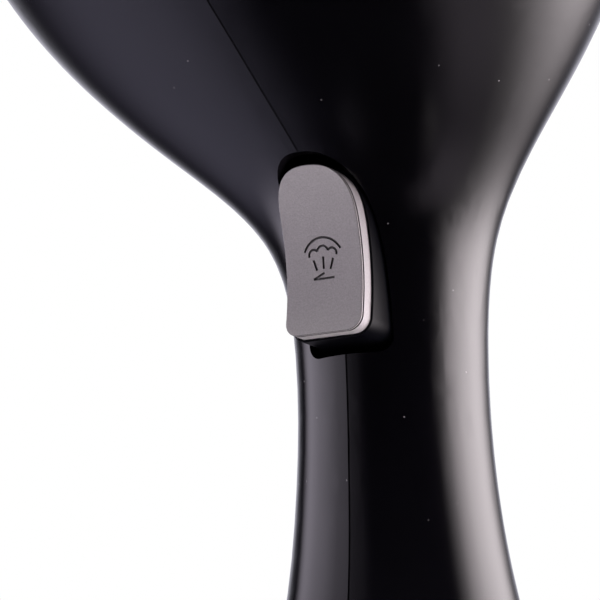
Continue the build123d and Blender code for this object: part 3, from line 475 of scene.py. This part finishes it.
def satin_grey_cap():
    """Fine-grained warm grey plastic, with shade painted dark down in its grooves and engraving."""
    finish = Finish("satin_grey_cap", (0.26, 0.242, 0.252), 0.42)
    grain = finish.group(GRAIN, Grain_Size=0.00035, Mottle_Size=0.006)
    edges = finish.soft_edges(0.00012)
    colour = finish.blend(grain.outputs["Height"], (0.195, 0.18, 0.188), (0.36, 0.335, 0.348))
    # Painted shade: the near-black colour darkens grooves and engraving where the occlusion mask finds
    # little open sky.
    finish.paint(finish.painted_crevice_shade(0.0008), (0.03, 0.026, 0.026), colour)
    finish.spread(grain.outputs["Mottle"], "Roughness", 0.34, 0.48)
    finish.bump(grain.outputs["Height"], 0.00006, under=edges)
    return finish.material


def textured_black():
    """Fine-textured black plastic with a little dust."""
    finish = Finish("textured_black", (0.012, 0.012, 0.013), 0.5)
    grain = finish.group(GRAIN, Grain_Size=0.0005, Mottle_Size=0.02)
    dust = finish.group(DUST, Spacing=0.005, Speck_Size=0.03, Rarity=0.8)
    colour = finish.blend(grain.outputs["Mottle"], (0.01, 0.01, 0.011), (0.018, 0.018, 0.019))
    finish.paint(dust.outputs["Mask"], colour, (0.12, 0.12, 0.12))
    finish.spread(grain.outputs["Mottle"], "Roughness", 0.42, 0.6)
    finish.bump(grain.outputs["Height"], 0.00008, under=finish.soft_edges(0.0003))
    return finish.material


def satin_black_button():
    """Satin black plastic for the power button."""
    finish = Finish("satin_black_button", (0.02, 0.02, 0.021), 0.38)
    grain = finish.group(GRAIN, Grain_Size=0.0003, Mottle_Size=0.004)
    edges = finish.soft_edges(0.0003)
    finish.paint(grain.outputs["Mottle"], (0.016, 0.016, 0.017), (0.028, 0.028, 0.03))
    finish.spread(grain.outputs["Height"], "Roughness", 0.3, 0.48)
    finish.bump(grain.outputs["Height"], 0.00003, under=edges)
    return finish.material


def metal(name, colour, roughness, line_spacing=0.0003, stretch=(0.03, 1.0, 1.0), depth=0.000004):
    """Drawn, brushed or rolled metal with streaks and slight stains."""
    finish = Finish(name, colour, roughness, metallic=1.0)
    brush = finish.group(BRUSHING, Line_Spacing=line_spacing, Stretch=stretch)
    grain = finish.group(GRAIN, Grain_Size=0.002, Mottle_Size=0.012)
    darker = tuple(part * 0.8 for part in colour)
    finish.paint(grain.outputs["Mottle"], darker, colour)
    finish.spread(brush.outputs["Streaks"], "Roughness", roughness * 0.75, roughness * 1.35)
    finish.bump(brush.outputs["Height"], depth)
    return finish.material


def cast_metal(name, colour, roughness):
    """As-cast metal with a pebbled skin."""
    finish = Finish(name, colour, roughness, metallic=1.0)
    grain = finish.group(GRAIN, Grain_Size=0.0008, Mottle_Size=0.008)
    finish.paint(grain.outputs["Mottle"], tuple(part * 0.7 for part in colour), colour)
    finish.spread(grain.outputs["Height"], "Roughness", roughness * 0.8, roughness * 1.2)
    finish.bump(grain.outputs["Height"], 0.0001)
    return finish.material


def plastic(name, colour, roughness):
    """Plain moulded plastic with grain and a slight mottle."""
    finish = Finish(name, colour, roughness)
    grain = finish.group(GRAIN, Grain_Size=0.0006, Mottle_Size=0.01)
    finish.paint(grain.outputs["Mottle"], tuple(part * 0.8 for part in colour), colour)
    finish.spread(grain.outputs["Mottle"], "Roughness", roughness * 0.85, min(1.0, roughness * 1.2))
    finish.bump(grain.outputs["Height"], 0.00003)
    return finish.material


def soft_rubber(name, colour):
    """Matt rubber or silicone."""
    finish = Finish(name, colour, 0.7)
    grain = finish.group(GRAIN, Grain_Size=0.0005, Mottle_Size=0.012)
    finish.paint(grain.outputs["Mottle"], tuple(part * 0.7 for part in colour), colour)
    finish.spread(grain.outputs["Height"], "Roughness", 0.58, 0.82)
    finish.bump(grain.outputs["Height"], 0.00006)
    return finish.material


def clear_plastic(name, colour, roughness):
    """Clear or frosted moulding."""
    finish = Finish(name, colour, roughness, ior=1.46)
    finish.shader.inputs["Transmission Weight"].default_value = 0.85
    grain = finish.group(GRAIN, Grain_Size=0.001, Mottle_Size=0.015)
    finish.spread(grain.outputs["Mottle"], "Roughness", roughness * 0.8, roughness * 1.3)
    finish.bump(grain.outputs["Height"], 0.00001)
    return finish.material


def circuit_board():
    """Green solder mask with darker copper areas under it."""
    finish = Finish("solder_mask", (0.02, 0.11, 0.05), 0.35)
    tracks = node(finish.tree, "ShaderNodeTexBrick")
    tracks.inputs["Scale"].default_value = 160.0
    tracks.inputs["Mortar Size"].default_value = 0.08
    finish.link(finish.position, tracks.inputs["Vector"])
    finish.paint(tracks.outputs["Fac"], (0.015, 0.09, 0.04), (0.05, 0.2, 0.1))
    finish.bump(tracks.outputs["Fac"], 0.00003)
    return finish.material


MATERIALS = {
    "shell_gloss": gloss_black_shell(),
    "bezel_black": textured_black(),
    "soleplate_metal": metal(
        "brushed_soleplate", (0.66, 0.65, 0.64), 0.42, line_spacing=0.0004, depth=0.00001
    ),
    "cast_aluminium": cast_metal("cast_aluminium", (0.5, 0.5, 0.52), 0.45),
    "element_steel": metal("dark_element_tube", (0.3, 0.27, 0.25), 0.4),
    "silicone_red": soft_rubber("red_silicone", (0.42, 0.07, 0.04)),
    "screw_steel": metal("zinc_screw", (0.6, 0.6, 0.62), 0.28),
    "thermostat_phenolic": plastic("brown_phenolic", (0.07, 0.045, 0.03), 0.5),
    "brass_fitting": metal("turned_brass", (0.75, 0.55, 0.22), 0.25),
    "shield_steel": metal("galvanised_sheet", (0.55, 0.56, 0.58), 0.4),
    "tank_clear": clear_plastic("clear_tank", (0.85, 0.92, 0.95), 0.06),
    "rubber_black": soft_rubber("black_rubber", (0.016, 0.016, 0.016)),
    "silicone_clear": clear_plastic("milky_silicone", (0.85, 0.85, 0.82), 0.35),
    "trigger_grey": satin_grey_cap(),
    "inner_nylon": plastic("natural_nylon", (0.7, 0.68, 0.62), 0.5),
    "spring_steel": metal("spring_wire", (0.5, 0.5, 0.52), 0.25),
    "component_black": plastic("moulded_epoxy", (0.02, 0.02, 0.02), 0.45),
    "plunger_red": plastic("red_acetal", (0.5, 0.04, 0.03), 0.35),
    "lens_clear": clear_plastic("frosted_light_guide", (0.75, 0.85, 0.95), 0.3),
    "button_black": satin_black_button(),
    "circuit_board": circuit_board(),
    "coil_copper": metal(
        "copper_winding", (0.7, 0.33, 0.16), 0.3, line_spacing=0.0002, stretch=(1.0, 1.0, 0.05)
    ),
}

for part in frame["record"]["subparts"]:
    for material_slot in NODES[part["node"]].material_slots:
        material_slot.material = MATERIALS[part["material_slot"]]
trigger_moulding = satin_black_moulding()
for material_slot in NODES["trigger_body"].material_slots:
    material_slot.material = trigger_moulding

make_camera()
make_world()
make_floor()
